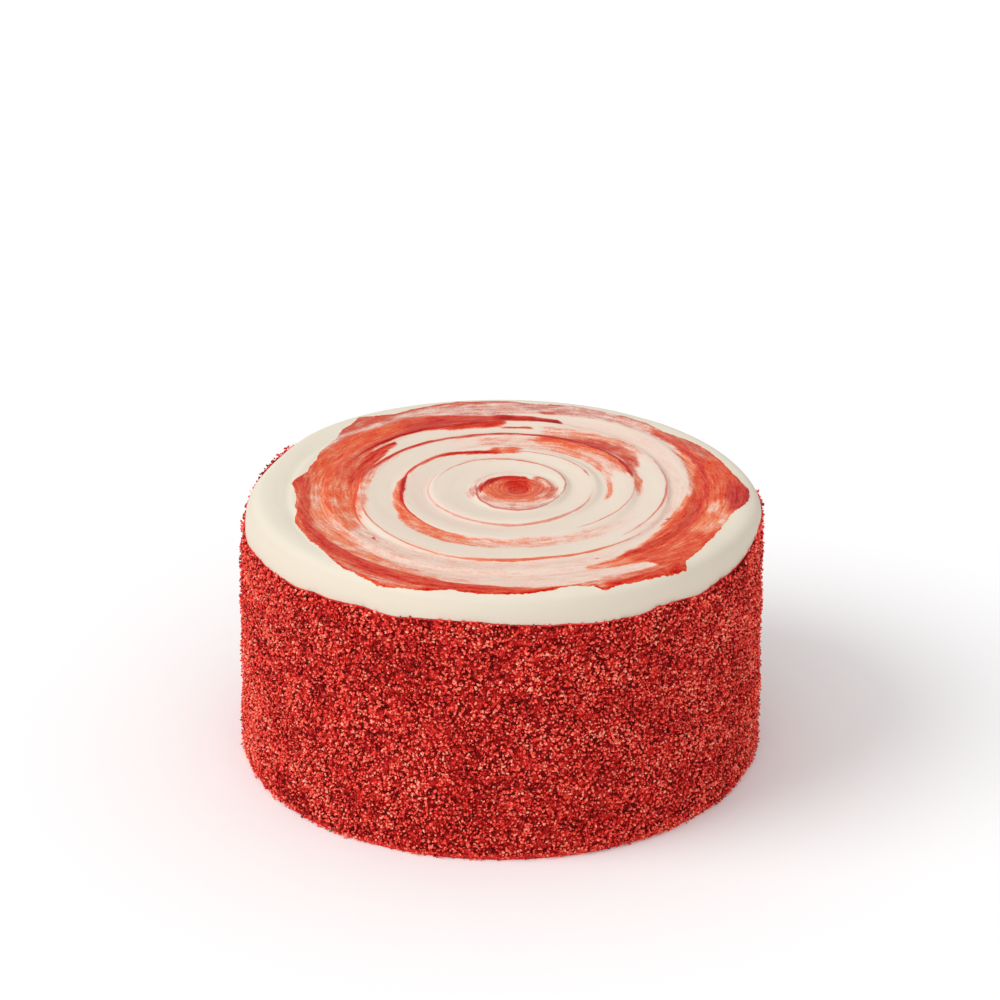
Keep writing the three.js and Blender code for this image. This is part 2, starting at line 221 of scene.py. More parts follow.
    (0.76, 0.1, 0.6, (1.5, 1), (3, 16), 0.9, 0.2, [(301, 64.2, 71.2), (305, 63.4, 73), (307.5, 62.8, 80),
     (310, 62.3, 99), (320, 59.7, 99), (330, 58, 99), (340, 58, 99), (350, 58.9, 99), (360, 60.5, 99),
     (370, 62, 99), (380, 66, 99), (400, 69, 99), (415, 71, 99)]),
    (0.42, 0, 0.2, (2, 2), (6, 6), 1.2, 0.6, [(326, 66, 72), (337, 66, 75), (346, 66, 75), (356, 67, 72)]),
    (0.16, 0.1, 0, (1.2, 1.2), (3, 4), 0.8, 0.5, [(336, 72.3, 74.2), (346, 72, 74)]),
    (0.18, 0.1, 0, (1.5, 1.5), (4, 4), 0.8, 0.6, [(342, 66.8, 69.5), (353, 67, 69.5)]),
    (0.9, 0.85, 0.6, (2, 1), (7, 7), 0.8, 0.3, [(343, 73, 99), (356, 71.5, 99), (368, 73, 99)]),
    (0.5, 1, 0.3, (1.5, 1.5), (8, 10), 1, 0.4, [(378, 69.5, 75), (395, 70.5, 75), (408, 71, 74)]),
    (0.8, 0.45, 0.7, (1, 1), (6, 14), 0.7, 0.3, [(298, 64.8, 66.3), (305, 63.3, 65.2), (320, 62.3, 64.8),
     (340, 61, 63.8), (350, 61.8, 64.3), (360, 64, 66), (378, 65.9, 67.4), (390, 67.4, 68.9)]),
    (0.78, 1, 0.6, (1, 1), (10, 10), 0.7, 0.3, [(372, 65.2, 66.8), (385, 66.8, 68.3), (400, 68.9, 70.2),
     (411, 70, 70.8)]),
    (0.58, 0.4, 0.4, (1.5, 1), (5, 3), 1, 0.4, [(283, 78.8, 81), (292, 77, 99), (309, 76.8, 99)]),
    (0.84, 0.35, 0.6, (1, 1), (2, 2), 0.5, 0.2, [(289, 79.9, 99), (300, 79.6, 99), (312, 78, 99)]),
    (0.8, 0.8, 0.3, (0.8, 0.8), (3, 3), 0.4, 0.3, [(76, 77.3, 79), (84, 77.3, 79)]),
    (0.75, 0.8, 0.3, (0.8, 0.8), (2, 2), 0.4, 0.3, [(77.5, 69, 71), (84, 69, 71)]),
]  # fmt: skip

# Thin lines, which are drawn finer than the mesh. Each has how cool its red is, and its knots: direction,
# radius, half its width (less than 0 in the outer one of two that run side by side), and how much glaze.
LINES = [
    # The first is the dark crescent on the bowl's back left wall: deep glaze, with painted shade.
    (0.5, [(96, 9.2, 0.4, 0.9), (118, 9.4, 0.7, 1), (140, 10, 0.8, 1.05), (160, 10.8, 0.8, 1.05),
     (178, 11.6, 0.7, 1), (192, 12.5, 0.4, 0.9), (202, 13.4, 0.2, 0.6)]),
    (0.9, [(164, 12.6, -0.2, 0.4), (178, 13.1, -0.25, 0.5), (192, 14, -0.3, 0.56), (205, 15, -0.35, 0.56),
     (220, 16.3, -0.35, 0.52), (245, 17.7, -0.35, 0.46), (270, 18.1, -0.3, 0.46), (300, 17.4, -0.25, 0.4),
     (330, 16, -0.2, 0.34), (345, 15.6, -0.2, 0.3)]),
    (0.6, [(335, 15.8, 0.2, 0.3), (360, 16.3, 0.3, 0.42), (390, 18.2, 0.35, 0.42), (420, 20.9, 0.4, 0.42),
     (450, 24, 0.5, 0.46), (465, 25.5, 0.6, 0.46), (475, 26.9, 0.5, 0.42), (485, 27.9, 0.4, 0.38),
     (508, 28.1, 0.35, 0.28), (526, 28.2, 0.3, 0.16), (545, 28.3, 0.2, 0.04)]),
    (0.6, [(116, 30.9, -0.3, 0.2), (150, 30.1, -0.3, 0.24), (200, 30.5, -0.3, 0.26), (240, 30.8, -0.35, 0.3),
     (270, 30.2, -0.5, 0.36), (280, 29.5, -0.5, 0.4), (300, 27.9, -0.5, 0.36), (320, 26.8, -0.4, 0.36),
     (335, 26.2, -0.35, 0.36), (346, 25.8, -0.3, 0.24), (356, 25.9, -0.3, 0.14), (370, 26.3, -0.2, 0.04)]),
    (0.6, [(22, 26.9, 0.2, 0.3), (30, 27.6, 0.4, 0.42), (36, 28.2, 0.3, 0.36), (60, 30.5, 0.3, 0.38),
     (80, 32, 0.3, 0.36), (90, 32.6, 0.3, 0.36)]),
    (0.35, [(99, 31.6, 0.2, 0.6), (104, 32.1, 0.5, 0.95), (110, 33.3, 0.6, 0.98), (116, 34.6, 0.6, 0.98),
     (121, 35.7, 0.7, 0.95), (130, 37.4, 0.8, 0.9), (136, 38.2, 0.5, 0.86), (150, 39.1, 0.3, 0.8),
     (162, 39.3, 0.35, 0.82), (168, 39.1, 0.5, 0.95), (175, 38.9, 0.7, 1), (183, 39, 0.6, 1),
     (190, 39.8, 0.5, 0.95), (197, 40.7, 0.4, 0.9), (206, 41.4, 0.3, 0.82), (216, 42.2, 0.3, 0.7),
     (226, 43.2, 0.25, 0.6), (242, 43.9, 0.2, 0.5)]),
    (0.5, [(300, 38.7, 0.25, 0.2), (318, 38.4, 0.4, 0.34), (335, 38.7, 0.35, 0.3), (362, 40.1, 0.3, 0.24)]),
    (0.7, [(14, 41, 0.2, 0.8), (20, 41.5, 0.6, 0.95), (30, 42.9, 0.7, 0.95), (40, 44.5, 0.7, 0.95),
     (50, 45.6, 0.6, 0.98), (62, 46.3, 0.6, 1.02), (76, 47, 0.6, 1), (90, 48, 0.4, 0.86),
     (110, 49, 0.35, 0.82), (120, 49.7, 0.35, 0.84), (130, 50.5, 0.35, 0.84), (140, 51, 0.4, 0.86),
     (150, 51.6, 0.6, 0.9), (160, 52.4, 0.5, 0.8), (170, 53.2, 0.2, 0.6)]),
    (0.3, [(186, 53.2, -0.2, 0.2), (196, 54.6, -0.3, 0.42), (205, 55.6, -0.3, 0.5), (215, 56.7, -0.3, 0.45),
     (225, 58, -0.3, 0.45), (235, 59.3, -0.3, 0.45), (245, 60, -0.3, 0.36), (252, 59.9, -0.35, 0.42),
     (258, 59.5, -0.5, 0.5), (265, 58.9, -0.6, 0.56), (272, 58.3, -0.6, 0.56), (282, 57.5, -0.5, 0.5),
     (295, 56.6, -0.4, 0.5), (304, 55.9, -0.3, 0.4), (318, 54.8, -0.2, 0.25)]),
    (0.7, [(312, 51.9, 0.3, 0.24), (325, 50.8, 0.35, 0.36), (335, 50.4, 0.35, 0.42), (350, 50.6, 0.35, 0.42),
     (360, 51, 0.4, 0.42), (375, 52.4, 0.35, 0.36), (388, 54, 0.3, 0.24)]),
    (0.1, [(172, 54, 0.2, 0.6), (182, 54.5, 0.45, 0.72), (190, 55.8, 0.5, 0.74), (200, 57.9, 0.45, 0.66),
     (207, 59.2, 0.35, 0.56), (215, 60.5, 0.2, 0.3)]),
    (0.6, [(112, 61.3, 0.2, 0.8), (120, 61.2, 0.5, 0.98), (128, 61.2, 0.6, 1.06), (140, 61.3, 0.6, 1.06),
     (148, 61.5, 0.5, 0.98), (157, 61.8, 0.2, 0.8)]),
    (0.9, [(220.5, 62.7, 0.4, 0.7), (222.5, 63.3, 0.4, 0.7)]),
    (0.9, [(333.5, 55.6, 0.5, 0.6), (335.5, 56.2, 0.6, 0.6)]),
    (0.9, [(293.5, 62.4, 0.4, 0.5), (295, 62.6, 0.4, 0.5)]),
]  # fmt: skip
# How far a line's values reach, where its glaze and its hue fade out, and the value where there is none.
LINE_REACH = 2.5
INK_FADE = (1.4, 2.3)
LINE_COOL_FADE = (0.6, 1.8)
NO_LINE = 9.0

# Where a raised lip of glaze runs along the ragged edge: from and to, how strong, how red and how cool.
LIPS = [
    (192, 248, 1, 0.78, 0.1), (246, 286, 1, 1, 0), (284, 313, 1, 0.86, 0.25),
    (344, 372, 0.7, 0.9, 0.8), (48, 62, 0.6, 0.9, 0.7), (88, 143, 0.7, 0.9, 0.7), (168, 183, 0.6, 0.9, 0.5),
]  # fmt: skip
LIP_WIDTH = 1.6
LIP_HEIGHT = 0.4
GLAZE_HEIGHT = 0.25

# The cream's own relief: ridges along the swirl, waves across it, and how much of it the shoulder has.
RIDGE_HEIGHT = 0.14
WAVE_HEIGHT = 0.3
SHOULDER_FROM = 82
SHOULDER_RELIEF = 0.4

# How many times as long along the swirl as across it the finest streaks are.
STREAK_STRETCH = 6

# The coat's surface under the loose crumbs: how far inside the wall it lies, there and at the rim, how much it
# swells with the clusters, and its grain. Then the pores of the underside.
COAT_SINK = 0.9
RIM_SINK = 0.7
COAT_SWELL = 0.4
COAT_GRAIN = 0.6
PORE_SIZE = 3.1
PORE_DEPTH = 0.5

# The crumbs: name, how many, their mean radii, and how far out they sit.
CRUMBS = [
    ("crumbs_inner", 16600, (0.4, 0.68), (-0.9, -0.1)),
    ("crumbs_middle", 16600, (0.34, 0.58), (-0.5, 0.4)),
    ("crumbs_outer", 16600, (0.28, 0.5), (-0.1, 0.8)),
]

# How far the crumbs stray in the grid they are spread on, in its steps, how much they swell with the
# clusters, how far past the wall they may reach, and how uneven and how stretched they are.
CRUMB_STRAY = 0.6
CRUMB_SWELL = 0.45
CRUMB_REACH = 1.9
CRUMB_UNEVEN = 0.35
CRUMB_STRETCH = (0.7, 1.3)

# Of the crumbs so far below the line, the share that lies on the ledge where the cream is drawn in.
LEDGE_DEPTH = 5
LEDGE_SHARE = 0.4

# How pale the crumbs are: on average, how much that varies, how much it follows the clusters, how much painted
# shade darkens their sides that face in and painted light brightens their sides that face out, and how many are
# paler still as painted glints, and by how much.
TONE_MEAN = 0.57
TONE_SPREAD = 0.2
TONE_SWELL = 0.06
FACING_SHADE = 0.35
GLINT_SHARE, GLINT_PALER = 0.02, 0.4

# Where flat surfaces lie on the uv maps, as discs: middle and radius. Then the radius of the swirl's disc,
# the two strips of the coat's wall, and how much of its cell a crumb fills.
UNDER_CREAM_DISC = ((0.075, 0.075), 0.07)
UNDER_COAT_DISC = ((0.19, 0.82), 0.17)
OVER_COAT_DISC = ((0.6, 0.82), 0.17)
SWIRL_DISC = 0.495
STRIP_EDGE, STRIP_LENGTH, STRIP_HEIGHT, STRIP_STEP = 0.01, 0.98, 0.3, 0.32
CELL_FILL = 0.48

# The random numbers that smooth noise is made of, and what keeps its coordinates above 0.
TABLE_SIZE = 512
TABLE = np.random.default_rng(11).random((TABLE_SIZE, TABLE_SIZE))
NOISE_SHIFT = 200


def lerp(a, b, t):
    return a + (b - a) * t


def ease(t):
    return t * t * (3 - 2 * t)


def smooth(x, low, high):
    return ease(np.clip((x - low) / (high - low), 0, 1))


def cell_noise(i, j, salt):
    """The solids' own noise, a number from 0 to 1 for a cell of a grid."""
    wave = np.sin(i * 127.1 + j * 311.7 + salt * 74.7) * 43758.5453
    return wave - np.floor(wave)


def round_noise(angle, level, cells, salt):
    """The solids' own smooth noise, from -1 to 1, that repeats round the cake."""
    x = np.mod(angle / FULL_TURN, 1) * cells
    i, j = np.floor(x), np.floor(level)
    u, v = ease(x - i), ease(level - j)
    low = lerp(cell_noise(i % cells, j, salt), cell_noise((i + 1) % cells, j, salt), u)
    high = lerp(cell_noise(i % cells, j + 1, salt), cell_noise((i + 1) % cells, j + 1, salt), u)
    return lerp(low, high, v) * 2 - 1


def noise(x, y, salt, around=TABLE_SIZE):
    """Smooth noise from 0 to 1 that repeats in x after so many cells."""
    i, j = np.floor(x).astype(int), np.floor(y).astype(int)
    u, v = ease(x - i), ease(y - j)

    def at(di, dj):
        return TABLE[((i + di) % around + 37 * salt) % TABLE_SIZE, (j + dj + 61 * salt) % TABLE_SIZE]

    return lerp(lerp(at(0, 0), at(1, 0), u), lerp(at(0, 1), at(1, 1), u), v)


def ring_noise(turn, cells, level, salt):
    """Smooth noise from 0 to 1 with so many cells in a full turn."""
    return noise(turn * cells, level, salt, cells)


def noise3(x, y, z, salt):
    """Smooth noise from 0 to 1 through space."""
    k = np.floor(z)
    low, high = (noise(x + 31.7 * (k + up), y + 17.3 * (k + up), salt) for up in (0, 1))
    return lerp(low, high, ease(z - k))


def spotted(x, y, size, salt):
    """Noise from 0 to 1 over the cake's top."""
    return noise((x + NOISE_SHIFT) / size, (y + NOISE_SHIFT) / size, salt)


def brushed(x, y, radius, length, width, salt):
    """Noise from 0 to 1 over the cake's top that is drawn out along the swirl."""
    return noise3((x + NOISE_SHIFT) / length, (y + NOISE_SHIFT) / length, radius / width, salt)


def crumb_line(angle):
    degrees = np.degrees(angle) % 360
    wobble = 0.5 * (ring_noise(degrees / 360, 90, 0.0, 17) - 0.5)
    return np.interp(degrees, *np.array(CRUMB_LINE, float).T) + wobble


def coat_top(angle):
    near_highest = 0.5 + 0.5 * np.cos(angle - COAT_HIGHEST)
    ripple = COAT_RIPPLE_SIZE * round_noise(angle, 0.0, COAT_RIPPLE_AROUND, 3)
    return COAT_HEIGHT + COAT_RISE * near_highest**3 + ripple


def cream_shift(angle):
    shift = 0.0
    for at, width, size in CREAM_SHIFTS:
        away = (np.degrees(angle) - at + 180) % 360 - 180
        shift = shift + size * np.exp(-((away / width) ** 2))
    return shift


def cream_edge(angle):
    return CREAM_RADIUS + CREAM_WAVE_SIZE * round_noise(angle, 0.0, CREAM_WAVE_AROUND, 5) + cream_shift(angle)


def wall_radius(height):
    return WALL_RADIUS + WALL_FLARE * (1 - height / COAT_HEIGHT)


def polar(radius, angle, height):
    return np.stack(np.broadcast_arrays(radius * np.cos(angle), radius * np.sin(angle), height), -1)


# The swirl, as in the solid.


def crest_radius(turns):
    def knot(i):
        over = np.maximum(0, np.ceil((i - len(CREST) + 1) / 6)).astype(int)
        at = i - 6 * over
        return np.where(at < 0, 0, CREST[np.clip(at, 0, len(CREST) - 1)]) + over * SWIRL_PITCH

    x = turns * 6 + CREST_LEAD
    k = np.floor(x).astype(int)
    t = x - k
    before, start, end, after = knot(k - 1), knot(k), knot(k + 1), knot(k + 2)
    slopes = (end - before) / 2 * t * (1 - t) ** 2 - (after - start) / 2 * t * t * (1 - t)
    return lerp(start, end, ease(t)) + slopes


def swirl_limit(angle):
    along = MIDDLE[0] * np.cos(angle) + MIDDLE[1] * np.sin(angle)
    return np.sqrt(SWIRL_OUTER**2 - MIDDLE @ MIDDLE + along**2) - along


def groove_depth(phase):
    falling = ease(np.clip(phase / STEEP, 0, 1))
    rising = 0.5 + 0.5 * np.cos(math.pi * (phase - STEEP) / (1 - STEEP))
    return np.where(phase < STEEP, falling, rising)


def swirl_point(radius, angle, phase):
    limit = swirl_limit(angle)
    share = radius / limit
    begun = smooth(radius, SWIRL_INNER, SWIRL_INNER + SWIRL_BEGIN)
    ended = smooth(radius, limit - SWIRL_END, limit)
    groove = SWIRL_DEPTH * (1 - OUTER_SHALLOWER * share) * begun * (1 - ended) * groove_depth(phase)
    bowl = BOWL_DEPTH * (1 - smooth(radius, 0, BOWL_RADIUS))
    point = polar(radius, angle, CAKE_HEIGHT - CROWN_RISE * share**2 - bowl - groove)
    point[..., :2] += MIDDLE
    point[..., 2] -= TOP_FALL * point[..., 0]
    return point


# The glaze.


def covered(stroke, degrees, radius, streak, mottle):
    """How much of each point a stroke covers, from 0 to 1."""
    soft, fade, streaky, mottled, knots = stroke[3:]
    at, inner, outer = np.array(knots, float).T
    cover = np.zeros_like(radius)
    for turn in (-360, 0, 360):
        t = degrees + turn
        within = (t >= at[0]) & (t <= at[-1])
        if fade[0] > 0:
            within = within * smooth(t, at[0], at[0] + fade[0]) * (1 - smooth(t, at[-1] - fade[1], at[-1]))
        low, high = np.interp(t, at, inner), np.interp(t, at, outer)
        inside = smooth(radius, low - soft[0] / 2, low + soft[0] / 2)
        inside = inside * (1 - smooth(radius, high - soft[1] / 2, high + soft[1] / 2))
        cover = np.maximum(cover, within * inside)
    broken = cover + 4 * cover * (1 - cover) * streaky * (streak - 0.5)
    return np.clip(broken * (1 - mottled * mottle), 0, 1)


def glaze(radius, angle):
    """Paints the strokes at points about the swirl's middle."""
    degrees = np.degrees(angle) % 360
    turn = degrees / 360
    x, y = radius * np.cos(angle), radius * np.sin(angle)
    streak = 0.6 * brushed(x, y, radius, 14, 1.1, 1) + 0.4 * brushed(x, y, radius, 7, 0.6, 2)
    mottle = smooth(0.45 * spotted(x, y, 3.2, 3) + 0.55 * brushed(x, y, radius, 9, 1.5, 4), 0.3, 0.8)
    drift = (spotted(x, y, 4, 5) - 0.5) * 0.8
    amount, cool, wet = np.zeros((3, *radius.shape))
    for stroke in STROKES:
        cover = covered(stroke, degrees, radius + drift * min(1, sum(stroke[3]) / 2), streak, mottle)
        amount = lerp(amount, stroke[0], cover)
        cool = lerp(cool, stroke[1], cover)
        wet = lerp(wet, stroke[2], cover)
    line, ink = np.full_like(radius, NO_LINE), np.zeros_like(radius)
    nearest = np.full_like(radius, LINE_REACH)
    for its_cool, knots in LINES:
        at, middle, half, its_ink = np.array(knots, float).T
        for turn_on in (0, 360):
            t = degrees + turn_on
            off = radius - np.interp(t, at, middle)
            here = (t >= at[0]) & (t <= at[-1]) & (np.abs(off) < nearest)
            nearest = np.where(here, np.abs(off), nearest)
            line = np.where(here, off / np.interp(t, at, half), line)
            ink = np.where(here, np.interp(t, at, its_ink) * (1 - smooth(np.abs(off), *INK_FADE)), ink)
            cool = np.where(here, lerp(its_cool, cool, smooth(np.abs(off), *LINE_COOL_FADE)), cool)
    ragged = (ring_noise(turn, 110, 0.0, 6) - 0.5) * 0.7 + (ring_noise(turn, 330, 0.0, 7) - 0.5) * 0.25
    rim = np.interp(degrees, *np.array(GLAZE_EDGE, float).T) + ragged - radius
    lip = np.zeros_like(radius)
    for start, end, strength, red, its_cool in LIPS:
        for turn_on in (0, 360):
            here = smooth(degrees + turn_on, start, start + 4) * (1 - smooth(degrees + turn_on, end - 3, end))
            here = here * strength * (0.6 + 0.4 * ring_noise(turn, 110, 0.0, 8))
            here = here * smooth(rim, -0.3, 0.1) * (1 - smooth(rim, LIP_WIDTH * 0.5, LIP_WIDTH))
            amount = lerp(amount, red, here)
            cool = lerp(cool, its_cool, here)
            wet = lerp(wet, 1.0, here)
            lip = np.maximum(lip, here)
    return amount, cool, wet, rim, lip, line, ink


# Meshes.


def packed(values, kind=np.float32):
    return np.ascontiguousarray(values, kind).ravel()


def add_object(name, data):
    added = bpy.data.objects.new(name, data)
    bpy.context.collection.objects.link(added)
    return added


def add_piece(name, points, triangles, material, uv=None, attributes=None, rounded=True):
    """A mesh of triangles from points in millimetres, with its uv per corner and its attributes per point.
    It leans as the cake does."""
    points = points + points[:, 2:] * [CAKE_LEAN / CAKE_HEIGHT, 0, 0]
    mesh = bpy.data.meshes.new(name)
    mesh.vertices.add(len(points))
    mesh.vertices.foreach_set("co", packed(points * MM))
    mesh.loops.add(triangles.size)
    mesh.loops.foreach_set("vertex_index", packed(triangles, np.int32))
    mesh.polygons.add(len(triangles))
    mesh.polygons.foreach_set("loop_start", np.arange(0, triangles.size, 3, dtype=np.int32))
    mesh.update(calc_edges=True)
    if rounded:
        mesh.shade_smooth()
    else:
        mesh.shade_flat()
    if uv is not None:
        layer = mesh.uv_layers.new(name="OFBake")
        layer.uv.foreach_set("vector", packed(uv))
    for key, values in (attributes or {}).items():
        kind, field = ("FLOAT", "value") if values.ndim == 1 else ("FLOAT_VECTOR", "vector")
        attribute = mesh.attributes.new(key, kind, "POINT")
        attribute.data.foreach_set(field, packed(values))
    mesh.materials.append(material)
    piece = add_object(name, mesh)
    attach(piece, "root")
    return piece


def grid_triangles(rows, columns):
    """The triangles of a grid that closes round, as numbers of its points. The last column repeats the
    first, so that a uv can run on."""
    row, column = np.meshgrid(np.arange(rows - 1), np.arange(columns), indexing="ij")
    a = (row * (columns + 1) + column).ravel()
    b, c, d = a + 1, a + columns + 2, a + columns + 1
    return np.concatenate([np.stack([a, b, c], 1), np.stack([a, c, d], 1)])


def merged(points, corners):
    """Shares the points that meet, and keeps the triangles that have three of them."""
    _, first, joined = np.unique(np.round(points, 3), axis=0, return_index=True, return_inverse=True)
    joined = joined.ravel()
    triangles = joined[corners]
    a, b, c = triangles.T
    kept = (a != b) & (b != c) & (c != a)
    return first, triangles[kept], corners[kept]


def disc_uv(points, middle, radius):
    """A flat surface of the cake as a disc on the uv map."""
    return np.array(middle) + points[:, :2] / CAKE_RADIUS * radius


def directions(columns):
    """One for each column of a grid that closes round. The last is the first again."""
    angle = np.linspace(0, FULL_TURN, columns + 1)
    angle[-1] = 0
    return angle


def add_cream(material):
    columns = CREAM_COLUMNS
    angle = directions(columns)
    turn_count = TURNS_BEFORE + (len(CREST) - CREST_LEAD) // 6 + 1
    ring = np.arange(turn_count * len(PHASES))[:, None]
    phase = PHASES[ring % len(PHASES)]
    turns = ring // len(PHASES) - TURNS_BEFORE + np.linspace(0, 1, columns + 1)
    radius = lerp(crest_radius(turns), crest_radius(turns + 1), phase)
    limit = swirl_limit(angle)
    outermost = radius > limit - NEAREST_RING
    radius = np.where(radius < SMALLEST_RING, 0, np.where(outermost, limit, radius))
    around = np.broadcast_to(angle, radius.shape)
    top = swirl_point(radius, around, np.where(outermost, 0, phase))

    inner = swirl_point(limit, angle, 0)
    out_angle = np.arctan2(inner[:, 1], inner[:, 0])
    foot = np.minimum(crumb_line(out_angle), coat_top(out_angle)) + LAYER_GAP
    outer = polar(cream_edge(out_angle), out_angle, foot)
    # The last row but one is close above the foot, so that the shading doesn't round it off.
    row = np.append(np.arange(1, SHOULDER_ROWS), [SHOULDER_ROWS - LAST_STEP, SHOULDER_ROWS])
    turn = (1 - row / SHOULDER_ROWS)[:, None, None] * math.pi / 2
    shoulder = lerp(inner, outer, np.cos(turn) ** (2 / SHOULDER_FULLNESS))
    shoulder[..., 2] = lerp(outer[:, 2], inner[:, 2], np.sin(turn[..., 0]) ** (2 / SHOULDER_FULLNESS))
    under = polar(cream_edge(out_angle) - RIM_WIDTH, out_angle, COAT_HEIGHT)[None]
    below = np.broadcast_to([0, 0, COAT_HEIGHT], under.shape)

    rows = np.concatenate([top, shoulder, under, below])
    x, y = rows[..., 0] - MIDDLE[0], rows[..., 1] - MIDDLE[1]
    reach, facing = np.hypot(x, y), np.arctan2(y, x)
    facing[: len(top)] = around
    amount, cool, wet, rim, lip, line, ink = glaze(reach, facing)

    # The relief, which the last two rows under the cream don't have.
    shown = (np.arange(len(rows)) < len(rows) - 2)[:, None]
    glazed = smooth(rim, 0, 0.7) * smooth(amount, 0.3, 0.8)
    ridges = brushed(x, y, reach, 22, 1.5, 9) - 0.5
    waves = spotted(x, y, 13, 10) - 0.5
    raised = GLAZE_HEIGHT * glazed + LIP_HEIGHT * lip + RIDGE_HEIGHT * ridges * smooth(reach, 4, 10)
    raised = raised + WAVE_HEIGHT * waves
    rows[..., 2] += raised * shown * np.where(reach > SHOULDER_FROM, SHOULDER_RELIEF, 1)

    # The uv map is a disc that is laid out by the way from the middle along the surface.
    length = np.linalg.norm(np.diff(rows, axis=0), axis=-1)
    run = np.concatenate([np.zeros((1, columns + 1)), np.cumsum(length, 0)])
    run[-1] = run[-2]
    spread = run / run.max() * SWIRL_DISC
    true_angle = np.arctan2(y, x)
    disc = np.stack([0.5 + spread * np.cos(true_angle), 0.5 + spread * np.sin(true_angle)], -1).reshape(-1, 2)
    flat = rows.reshape(-1, 3)
    first, triangles, corners = merged(flat, grid_triangles(len(rows), columns))
    uv = disc[corners]
    last_rows = corners.min(1) >= (len(rows) - 2) * (columns + 1)
    uv[last_rows] = disc_uv(flat, *UNDER_CREAM_DISC)[corners[last_rows]]

    values = {"glaze": amount, "cool": cool, "wet": wet, "rim": rim, "line": line, "ink": ink}
    attributes = {key: value.ravel()[first] for key, value in values.items()}
    swirl = np.stack([reach, x / STREAK_STRETCH, y / STREAK_STRETCH], -1)
    attributes["swirl"] = swirl.reshape(-1, 3)[first]
    piece = add_piece("cream_swirl", flat[first], triangles, material, uv, attributes)
    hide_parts("cream_top")


def wall_lump(angle, height):
    return LUMP_SIZE * round_noise(angle, height / LUMP_TALL, LUMP_AROUND, 1)


def clusters(angle, height):
    """Crumbs that stick together: a few millimetres across, from -1 to 1."""
    turn = angle / FULL_TURN
    coarse = ring_noise(turn, 130, height / 4.2, 12)
    fine = ring_noise(turn, 260, height / 2.1, 13)
    return (0.6 * coarse + 0.4 * fine) * 2 - 1


def add_coat(material):
    columns = COAT_COLUMNS
    angle = directions(columns)
    base_share = np.linspace(0, 1, BASE_ROWS + 1)[:, None]
    base = polar((wall_radius(0) - FOOT_SETBACK) * base_share, angle, 0.0)
    pores = noise(base[..., 0] / PORE_SIZE + 100, base[..., 1] / PORE_SIZE + 100, 14)
    edge_on = 1 - smooth(base_share, 0.93, 1)
    base[..., 2] = PORE_DEPTH * smooth(pores, 0.55, 0.9) * edge_on
    share = np.linspace(0, 1, COAT_ROWS)[:, None]
    line = crumb_line(angle)
    height = lerp(FOOT_HEIGHT, line, share)
    lump = wall_lump(angle, height)
    turn = angle / FULL_TURN
    grain = ring_noise(turn, 430, height / 1.3, 15) * 0.6 + ring_noise(turn, 512, height / 0.9, 16) * 0.4 - 0.5
    out = wall_radius(height) - COAT_SINK + lump + COAT_SWELL * clusters(angle, height) + COAT_GRAIN * grain
    at_rim = wall_radius(height) - RIM_SETBACK - RIM_SINK + lump / 2
    wall = polar(lerp(out, at_rim, smooth(share, 0.97, 1)), angle, height)
    edge = cream_edge(angle)
    inside = COAT_HEIGHT - LAYER_GAP
    lip = [(edge + 0.15, line - 0.1), (edge + 0.15, np.minimum(line, coat_top(angle)))]
    lip += [(edge + LAYER_GAP - RIM_WIDTH, inside), (0, inside)]
    rows = np.concatenate([base, wall, [polar(radius, angle, height) for radius, height in lip]])
    flat = rows.reshape(-1, 3)
    first, triangles, corners = merged(flat, grid_triangles(len(rows), columns))

    # Two strips of wall one over the other, and two discs above them.
    row = corners // (columns + 1)
    column = corners % (columns + 1)
    half = columns // 2
    second = column.min(1) >= half
    along = (column - half * second[:, None]) / half
    up = (row - BASE_ROWS) / (len(rows) - 1 - BASE_ROWS)
    strip = STRIP_EDGE + STRIP_HEIGHT * up + STRIP_STEP * second[:, None]
    uv = np.stack([STRIP_EDGE + STRIP_LENGTH * along, strip], -1)
    under = row.max(1) <= BASE_ROWS
    uv[under] = disc_uv(flat, *UNDER_COAT_DISC)[corners[under]]
    over = row.min(1) >= len(rows) - 2
    uv[over] = disc_uv(flat, *OVER_COAT_DISC)[corners[over]]
    # Painted shade: the coat's wall, down among the crumbs, is darker than its top and underside, and darker
    # still in the hollows of its grain.
    tone_and_painted_light = np.ones(rows.shape[:2])
    tone_and_painted_light[len(base) : len(base) + len(wall)] = grain
    relief_shade = {"tone_and_painted_light": tone_and_painted_light.ravel()[first]}
    piece = add_piece("crumb_coat", flat[first], triangles, material, uv, relief_shade)
    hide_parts("crumb_cake")


def crumb_blank():
    """Points and triangles of a solid with 12 equal triangular faces, a little longer than it is wide. Its
    points are 1 from its middle on average."""
    q = 0.16902
    r, s, t = math.sqrt(q), math.sqrt((1 - q) / (2 * q)), math.sqrt(2 - 2 * q)
    points = [(t, r, 0), (-t, r, 0), (0, -r, t), (0, -r, -t), (1, -s, 0), (-1, -s, 0), (0, s, 1), (0, s, -1)]
    faces = [(4, 2, 5), (5, 3, 4), (6, 0, 7), (7, 1, 6), (0, 2, 4), (4, 3, 0), (5, 2, 1), (1, 3, 5)]
    faces += [(2, 0, 6), (6, 1, 2), (7, 0, 3), (3, 1, 7)]
    mean_radius = 1.6
    return np.array(points) / mean_radius, np.array(faces)


